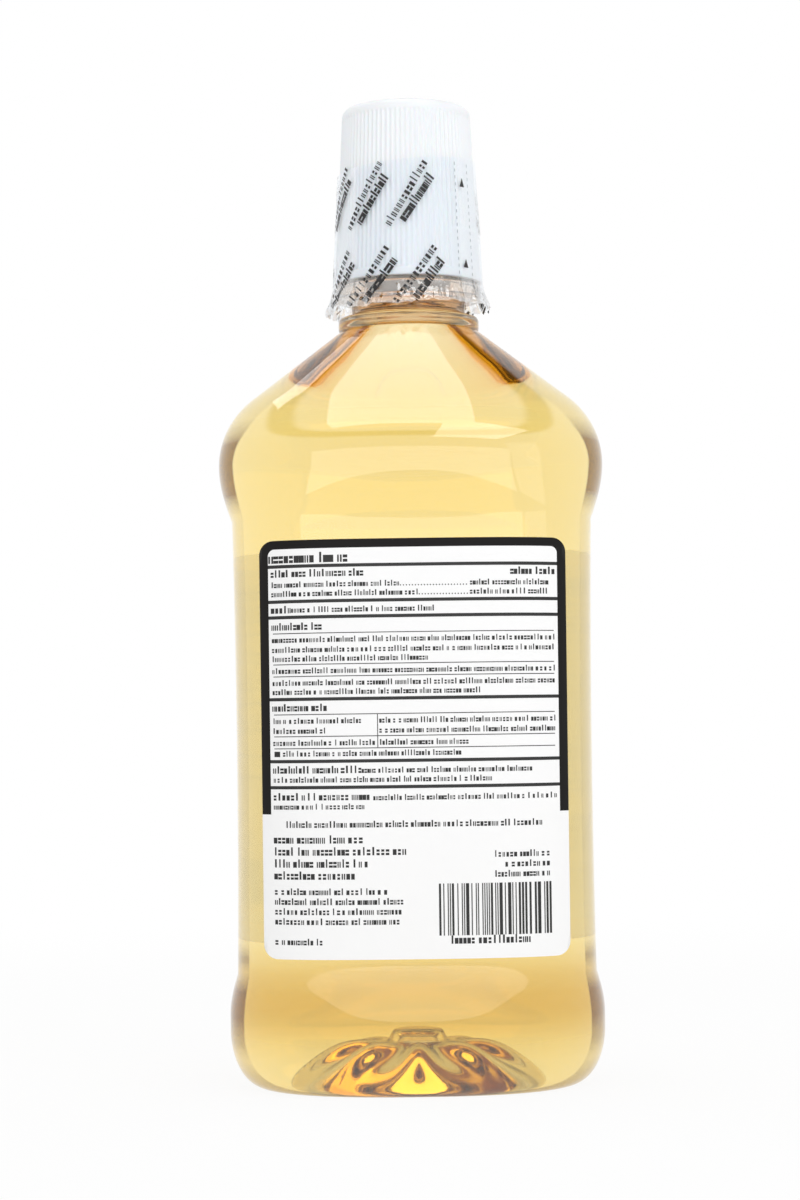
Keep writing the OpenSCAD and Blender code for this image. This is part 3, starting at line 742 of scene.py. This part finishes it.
gloss = add(tree, "ShaderNodeBsdfGlossy", {
    "Color": linear(WHITE), "Roughness": 0.06, "Normal": bump})
both = blended(tree, share, through.outputs[0], gloss.outputs[0])
add(tree, "ShaderNodeOutputMaterial", {"Surface": lit_through(tree, both, FILM_CLEAR)})

strip_half = STRIP_WIDE / 2 / FILM_R
cut_half = strip_half + CUT / FILM_R
strip_mid = math.radians(STRIP_TURN)
band = film_sheet("neck_film", strip_mid + cut_half, strip_mid + 2 * math.pi - cut_half,
                  BAND_COLUMNS, film)
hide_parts("neck_band")
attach(band, "band")
strip = film_sheet("tear_film", strip_mid - strip_half, strip_mid + strip_half,
                   STRIP_COLUMNS, film)
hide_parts("tear_strip")
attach(strip, "strip")

# Labels ---------------------------------------------------------------------------------------
# Two labels of white polypropylene film with rounded corners, printed, varnished and stuck on
# the recessed panels. The back one holds a facts panel in a black frame, with greeked lines.

LABEL_WIDE, LABEL_HIGH, LABEL_LOW, LABEL_CORNER, LABEL = 74.4, 101.2, 33.8, 3.4, 0.12
LABEL_GAP, PRINT_PROUD = 0.01, 0.02
LABEL_WHITE, LABEL_INK, INK_BLACK = "FAFAFA", "161413", "141414"
INSIDE_GLOW = 0.95                  # share of the light from outside in the inside's look
FRAME_SIDE, FRAME_TOP, FRAME_FOOT, FRAME_CORNER = 35.0, 132.9, 68.8, 1.6
# Boxes of a mark that is one wide and one high: a block, a tick, two ticks and two bars
MARK_SHAPES = (
    ((-0.5, 0, 0.5, 0.7),), ((-0.25, 0, 0.25, 1),), ((-0.5, 0, -0.13, 0.7), (0.13, 0, 0.5, 0.7)),
    ((-0.5, 0, 0.5, 0.28), (-0.5, 0.42, 0.5, 0.7)))
SHAPE_SEED = 17.0                   # added to a seed to choose the shapes
WORD_LETTERS, WORD_GAP = (2, 9), 1.7
# Greeked lines: the height and width of the marks, and rows of (left, right, height over the foot)
LINES = (
    (2.5, 0.52, [(-34.3, -16.2, 95.7)]),
    (1.8, 0.52, [
        (-34, -12.3, 92.3), (23.9, 34, 92.3), (-34, -29.9, 83.6), (-34, -22.5, 79.5),
        (-34, -21.5, 59.9), (-34, -13.3, 44.9), (-34, -10.4, 38.4)]),
    (1.4, 0.48, [
        (-34, -3.6, 89.8), (14, 34, 89.8), (-34, 1, 87.6), (14, 34, 87.6), (-29.2, 6.5, 83.7),
        (-34, 34, 76.5), (-34, 33.8, 74.1), (-34, 3.1, 71.9), (-34, 34, 69), (-34, 33.8, 66.1),
        (-34, 15.7, 63.9), (-34, -11.8, 56.9), (-8.2, 34, 56.9), (-34, -21.7, 54.5),
        (-8.2, 34, 54.5), (-34, -9.9, 51.6), (-8.2, 12.6, 51.6), (-31.6, 12.1, 49),
        (-12.6, 28, 44.9), (-34, 18.1, 42.7), (-9.9, 34, 38.3), (-34, -12.1, 36.2)]),
    (1.6, 0.48, [
        (-31.1, 31.1, 31.8), (19.1, 31.9, 24.3), (21.7, 31.9, 21.9), (19.1, 31.9, 19.5),
        (-34, -7.5, 15.6), (-34, -3.6, 13.2), (-34, -4.1, 10.8), (-34, -4.6, 8.4),
        (-34, -23.2, 3.5)]),
    (2.0, 0.48, [
        (-34, -13.3, 28), (-34, -2.9, 25.1), (-34, -12.1, 22.2), (-34, -13.8, 19.3),
        (8.4, 18.6, 3.6), (19.8, 29, 3.6)]))
RULES = ((0.4, FRAME_SIDE, (94.9, 86.4, 82.6, 62.8, 47.8, 41.5)),   # half height, half width, at
         (0.1, 34, (78.7, 71.2, 68.3, 59.1, 53.8, 50.9)))
COLUMN_RULE, BULLET = (-9.0, 50.9, -8.8, 59.1), (-34, 48.9, -32.6, 50.2)
LEADERS, LEADER_END, DOT, DOT_STEP = ((-3.1, 89.8), (1.4, 87.6)), 13.2, 0.28, 0.72
BARS_LEFT, BARS_FOOT, BARS_RIGHT, BARS_HEAD = 5.3, 5.6, 32.1, 18.1
BAR_WIDTHS = (0.26, 0.26, 0.52, 0.78)


def panel_depth(x, z):
    """How far the panel's face lies from the middle of the bottle at x."""
    half, deep = panel_at(z, 0)
    return deep * (1 - abs(x / half) ** PANEL_SQUARE) ** (1 / PANEL_SQUARE)


def label_sheet(name, side, material):
    """A label on one side of the bottle: -1 towards -Y and 1 towards +Y."""
    straight, front, back = LABEL_WIDE / 2 - LABEL_CORNER, [], []
    corner = np.linspace(0, math.pi / 2, 9)
    for x in np.concatenate([-straight - LABEL_CORNER * np.cos(corner),
                             np.linspace(-straight, straight, 49)[1:-1],
                             straight + LABEL_CORNER * np.sin(corner)]):
        past = max(abs(x) - straight, 0)
        cut = LABEL_CORNER - math.sqrt(max(LABEL_CORNER ** 2 - past ** 2, 0))
        levels = np.linspace(LABEL_LOW + cut, LABEL_LOW + LABEL_HIGH - cut, 25)
        front.append([(x, side * (panel_depth(x, z) + LABEL), z) for z in levels])
        back.append([(x, side * (panel_depth(x, z) + LABEL_GAP), z) for z in levels])
    return sheet(name, front, back, material)


# Varnished polypropylene label film: white and smooth, with a low gloss
label_film, tree = new_material("varnished white label film")
place = add(tree, "ShaderNodeTexCoord").outputs["Object"]
where = add(tree, "ShaderNodeSeparateXYZ", {0: place}).outputs
# Black outside a rounded rectangle that is open at the foot, and only on the back label
across = add(tree, "ShaderNodeMath", {0: where["X"]}, operation="ABSOLUTE").outputs[0]
past_side = maths(tree, "SUBTRACT", across, (FRAME_SIDE - FRAME_CORNER) * MM)
past_top = maths(tree, "SUBTRACT", where["Z"], (FRAME_TOP - FRAME_CORNER) * MM)
past_both = add(tree, "ShaderNodeCombineXYZ", {
    "X": maths(tree, "MAXIMUM", past_side, 0.0), "Y": maths(tree, "MAXIMUM", past_top, 0.0)})
away = add(tree, "ShaderNodeVectorMath", {0: past_both.outputs[0]}, operation="LENGTH")
outside = maths(tree, "GREATER_THAN", away.outputs["Value"], FRAME_CORNER * MM)
over_foot = maths(tree, "GREATER_THAN", where["Z"], FRAME_FOOT * MM)
on_back = maths(tree, "LESS_THAN", where["Y"], 0.0)
black = maths(tree, "MULTIPLY", maths(tree, "MULTIPLY", outside, over_foot), on_back)
varnish = add(tree, "ShaderNodeBsdfPrincipled", {
    "Base Color": mixed(tree, black, linear(LABEL_WHITE), linear(LABEL_INK)),
    "Roughness": 0.4, "IOR": 1.48, "Specular IOR Level": 0.15,
    "Normal": relief(tree, noisy(tree, place, 500.0, 2.0), 0.06, 0.1)})
# Seen from inside the bottle the film glows with the light that falls on its outside
glow = add(tree, "ShaderNodeBsdfTranslucent", {"Color": linear(LABEL_WHITE)})
path = add(tree, "ShaderNodeLightPath").outputs
inside = maths(tree, "MULTIPLY", path["Is Transmission Ray"], INSIDE_GLOW)
add(tree, "ShaderNodeOutputMaterial", {
    "Surface": blended(tree, inside, varnish.outputs[0], glow.outputs[0])})

back_label = label_sheet("back_label_film", -1, label_film)
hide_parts("back_label")
front_label = label_sheet("front_label_film", 1, label_film)
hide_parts("front_label")


def marks_tree():
    """Geometry Nodes that set small flat marks along rows of edges in the XY plane."""
    tree = bpy.data.node_groups.new("marks in rows", "GeometryNodeTree")
    for name, kind in (("Rows", "Geometry"), ("Pitch", "Float"), ("Width", "Float"),
                       ("Height", "Float"), ("Unevenness", "Float"), ("Seed", "Int"),
                       ("Ink", "Material")):
        tree.interface.new_socket(name, in_out="INPUT", socket_type="NodeSocket" + kind)
    tree.interface.new_socket("Marks", in_out="OUTPUT", socket_type="NodeSocketGeometry")
    given = add(tree, "NodeGroupInput").outputs
    curves = add(tree, "GeometryNodeMeshToCurve", {"Mesh": given["Rows"]})
    even = add(tree, "GeometryNodeResampleCurve", {
        "Curve": curves.outputs[0], "Length": given["Pitch"]}, mode="LENGTH")
    shapes = add(tree, "GeometryNodeJoinGeometry")
    for boxes in MARK_SHAPES:
        shape = add(tree, "GeometryNodeJoinGeometry")
        for left, foot, right, head in boxes:
            box = add(tree, "GeometryNodeMeshGrid", {
                "Size X": right - left, "Size Y": head - foot, "Vertices X": 2, "Vertices Y": 2})
            moved = add(tree, "GeometryNodeTransform", {
                "Geometry": box.outputs[0],
                "Translation": ((left + right) / 2, (foot + head) / 2, 0)})
            tree.links.new(moved.outputs[0], shape.inputs[0])
        one = add(tree, "GeometryNodeGeometryToInstance", {0: shape.outputs[0]})
        tree.links.new(one.outputs[0], shapes.inputs[0])
    way = add(tree, "GeometryNodeInputTangent")
    turned = add(tree, "FunctionNodeAlignEulerToVector", {"Vector": way.outputs[0]}, axis="X")
    thin = maths(tree, "MULTIPLY", maths(tree, "SUBTRACT", 1.0, given["Unevenness"]),
                 given["Width"])
    wide = add(tree, "FunctionNodeRandomValue", {
        2: thin, 3: given["Width"], "Seed": given["Seed"]}, data_type="FLOAT")
    size = add(tree, "ShaderNodeCombineXYZ", {
        "X": wide.outputs[1], "Y": given["Height"], "Z": 1.0})
    later = maths(tree, "ADD", given["Seed"], SHAPE_SEED)
    which = add(tree, "FunctionNodeRandomValue", {
        4: 0, 5: len(MARK_SHAPES) - 1, "Seed": later}, data_type="INT")
    marks = add(tree, "GeometryNodeInstanceOnPoints", {
        "Points": even.outputs[0], "Instance": shapes.outputs[0], "Pick Instance": True,
        "Instance Index": which.outputs[2], "Rotation": turned.outputs[0],
        "Scale": size.outputs[0]})
    real = add(tree, "GeometryNodeRealizeInstances", {"Geometry": marks.outputs[0]})
    inked = add(tree, "GeometryNodeSetMaterial", {
        "Geometry": real.outputs[0], "Material": given["Ink"]})
    add(tree, "NodeGroupOutput", {0: inked.outputs[0]})
    return tree


marks_in_rows = marks_tree()


def printed(name, rows, place, ink, **sizes):
    """Marks along rows of (x, y, x, y) in mm, laid on a surface by place(x, y)."""
    mesh = bpy.data.meshes.new(name)
    mesh.from_pydata([(x, y, 0) for row in rows for x, y in (row[:2], row[2:])],
                     [(2 * k, 2 * k + 1) for k in range(len(rows))], [])
    made = placed(name, mesh)
    maker = made.modifiers.new("marks", "NODES")
    maker.node_group = marks_in_rows
    values = {"Ink": ink, **{key.capitalize(): value for key, value in sizes.items()}}
    for socket in marks_in_rows.interface.items_tree:
        if socket.in_out == "INPUT" and socket.name in values:
            maker[socket.identifier] = values[socket.name]
    evaluated = made.evaluated_get(bpy.context.evaluated_depsgraph_get())
    made.data = bpy.data.meshes.new_from_object(evaluated)
    made.modifiers.remove(maker)
    made.data.materials.clear()
    made.data.materials.append(ink)
    for vertex in made.data.vertices:
        vertex.co = metres(place(vertex.co.x, vertex.co.y))
    return made


def rectangles(name, boxes, place, ink):
    """Flat rectangles of (left, foot, right, head) in mm, laid on a surface in 1 mm strips."""
    points, faces = [], []
    for left, foot, right, head in boxes:
        count = max(1, round(right - left))
        for k in range(count + 1):
            x = between(left, right, k / count)
            points += [place(x, foot), place(x, head)]
            if k:
                n = len(points)
                faces.append((n - 4, n - 2, n - 1, n - 3))
    mesh = bpy.data.meshes.new(name)
    mesh.from_pydata([metres(p) for p in points], [], faces)
    mesh.materials.append(ink)
    return placed(name, mesh)


def in_words(rows, pitch, seed):
    """Rows of (left, right, height), broken into words with a gap between them."""
    chance, words = random.Random(seed), []
    for left, right, y in rows:
        while left < right - pitch:
            end = min(right, left + pitch * chance.randint(*WORD_LETTERS))
            words.append((left, y, end, y))
            left = end + pitch * WORD_GAP
    return words


def on_back_label(x, y):
    """A place on the back label's print, x mm across from its middle and y up from its foot."""
    z = LABEL_LOW + y
    return (x, -panel_depth(x, z) - LABEL - PRINT_PROUD, z)


# Printing ink: near black, dried to an uneven satin
print_ink, tree = new_material("black flexographic ink")
speckle = add(tree, "ShaderNodeTexNoise", {"Scale": 900.0}).outputs["Fac"]
dried = add(tree, "ShaderNodeBsdfPrincipled", {
    "Base Color": linear(INK_BLACK), "Roughness": ramp(tree, speckle, to=(0.3, 0.5)), "IOR": 1.5})
add(tree, "ShaderNodeOutputMaterial", {"Surface": dried.outputs[0]})

print_pieces = []
for size, width, rows in LINES:
    seed, pitch = round(size * 10), size * 0.5
    print_pieces.append(printed(
        f"greeked_lines_{size}", in_words(rows, pitch, seed), on_back_label, print_ink,
        pitch=pitch, width=size * width, height=size, unevenness=0.3, seed=seed))

rules = [(-side, y - half, side, y + half) for half, side, places in RULES for y in places]
rules += [COLUMN_RULE, BULLET]
rules += [(x, y, x + DOT, y + DOT) for start, y in LEADERS
          for x in np.arange(start, LEADER_END, DOT_STEP)]
# A block of bars that stand for no number
chance, x = random.Random(5), BARS_LEFT
while x < BARS_RIGHT:
    wide = chance.choice(BAR_WIDTHS)
    rules.append((x, BARS_FOOT, x + wide, BARS_HEAD))
    x += wide + chance.choice(BAR_WIDTHS)
print_pieces.append(rectangles("rules", rules, on_back_label, print_ink))
back_print = joined(*print_pieces)
back_print.name = "back_label_print"
for piece in (back_label, front_label, back_print):
    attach(piece, "bottle")

# Print on the film ----------------------------------------------------------------------------
# Slanted rows of marks too small to read, a thin and a bold one in turn, that repeat round it,
# and the two rows of slits beside the tear strip, which has an arrow at each of its ends.

MOTIF_STEP, MOTIFS = math.radians(37), 8
THIN_ROWS = ((-4.1, 213.5, 5.4, 228.5), (-2.2, 194.2, 7.3, 207.3))
BOLD_ROWS = ((-0.3, 214.4, 7.2, 224.9), (2.3, 194.6, 9.4, 204.0))
ARROW, ARROW_FEET = ((-0.9, 0), (0.9, 0), (0.1, 2.2)), (203.6, 223.8)
SLIT_ASIDE, SLIT_HALF, SLIT_HIGH, SLIT_STEP = STRIP_WIDE / 2 + CUT + 0.15, 0.09, 0.8, 1.7
SLIT_GREY = "8E969C"


def on_film(x, y):
    """A place on the film's outside, x mm round it from the front and y up."""
    return film_point(x / FILM_R - math.pi / 2, y, FILM + PRINT_PROUD)


def round_film(rows):
    """Rows repeated to the left round the film, as far as the tear strip."""
    return [(left - k * MOTIF_STEP * FILM_R, foot, right - k * MOTIF_STEP * FILM_R, head)
            for k in range(MOTIFS) for left, foot, right, head in rows]


# The cut edges of the slits catch the light
frosted, tree = new_material("frosted cut edge of the film")
grain = add(tree, "ShaderNodeTexNoise", {"Scale": 3000.0}).outputs["Fac"]
cut_edge = add(tree, "ShaderNodeBsdfPrincipled", {
    "Base Color": linear(SLIT_GREY), "Roughness": ramp(tree, grain, to=(0.4, 0.6))})
add(tree, "ShaderNodeOutputMaterial", {"Surface": cut_edge.outputs[0]})

strip_x = (strip_mid + math.pi / 2) * FILM_R
slits = rectangles("tear_slits", [
    (x - SLIT_HALF, z, x + SLIT_HALF, z + SLIT_HIGH)
    for x in (strip_x - SLIT_ASIDE, strip_x + SLIT_ASIDE)
    for z in np.arange(HEM_Z + 5, BAND_TOP - 0.5, SLIT_STEP)], on_film, frosted)
thin_words = printed("film_words", round_film(THIN_ROWS), on_film, print_ink,
                     pitch=1.25, width=0.9, height=2.3, unevenness=0.35, seed=4)
bold_words = printed("bold_film_words", round_film(BOLD_ROWS), on_film, print_ink,
                     pitch=0.95, width=1.1, height=2.6, unevenness=0.3, seed=9)
film_print = joined(thin_words, bold_words)
film_print.name = "film_print"
arrow_mesh = bpy.data.meshes.new("tear_arrows")
arrow_mesh.from_pydata([metres(on_film(strip_x + x, foot + y)) for foot in ARROW_FEET
                        for x, y in ARROW], [], [(0, 1, 2), (3, 4, 5)])
arrow_mesh.materials.append(print_ink)
arrows = placed("tear_arrows", arrow_mesh)
for piece, body in ((film_print, "band"), (slits, "band"), (arrows, "strip")):
    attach(piece, body)
